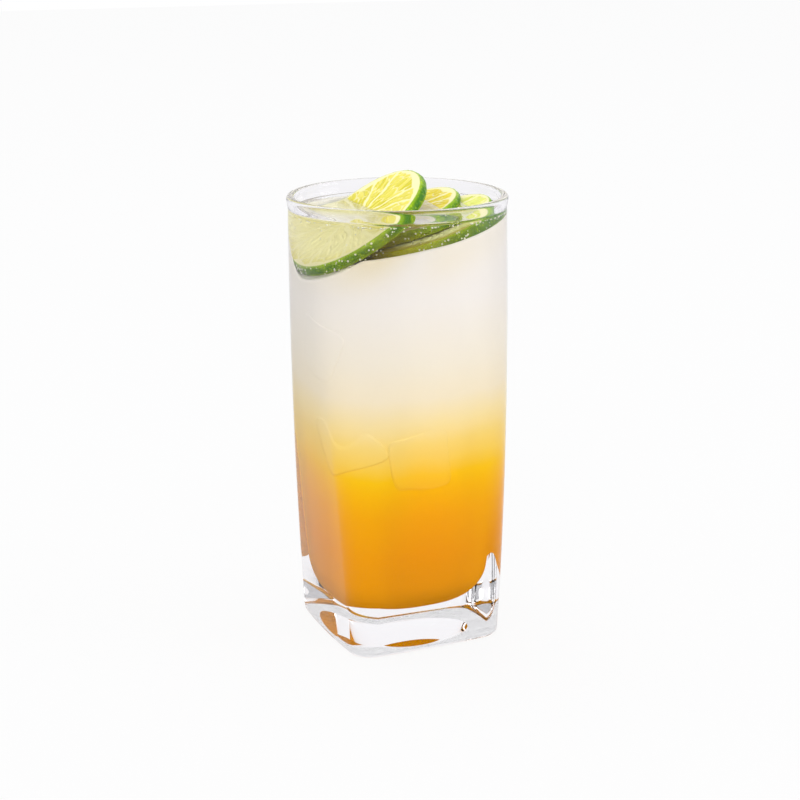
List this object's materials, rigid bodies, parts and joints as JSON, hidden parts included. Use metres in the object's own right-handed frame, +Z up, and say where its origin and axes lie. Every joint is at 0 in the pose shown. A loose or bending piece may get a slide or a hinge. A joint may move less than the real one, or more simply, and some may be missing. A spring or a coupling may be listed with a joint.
{
  "type": "glass of soda",
  "caption": "Square-footed highball tumbler of soda over an orange layer, with wheels of lime in its mouth.",
  "frame": {"origin": "middle of the tumbler's foot, on the surface that it stands on", "axes": "+Z up through the mouth; the flat sides of the square foot face +X, -X, +Y and -Y"},
  "size_m": [0.07, 0.07, 0.1515],
  "materials": {
    "clear_glass": "clear pressed glass, fire-polished",
    "orange_drink": "cloudy orange drink",
    "cloudy_soda": "pale cloudy soda",
    "lime": "wet cut lime with a green rind"
  },
  "bodies": {
    "root": {"tumbler": "clear_glass", "orange_layer": "orange_drink", "soda_layer": "cloudy_soda", "lime_wheel_top": "lime", "lime_wheel_middle": "lime", "lime_wheel_bottom": "lime"}
  },
  "joints": []
}
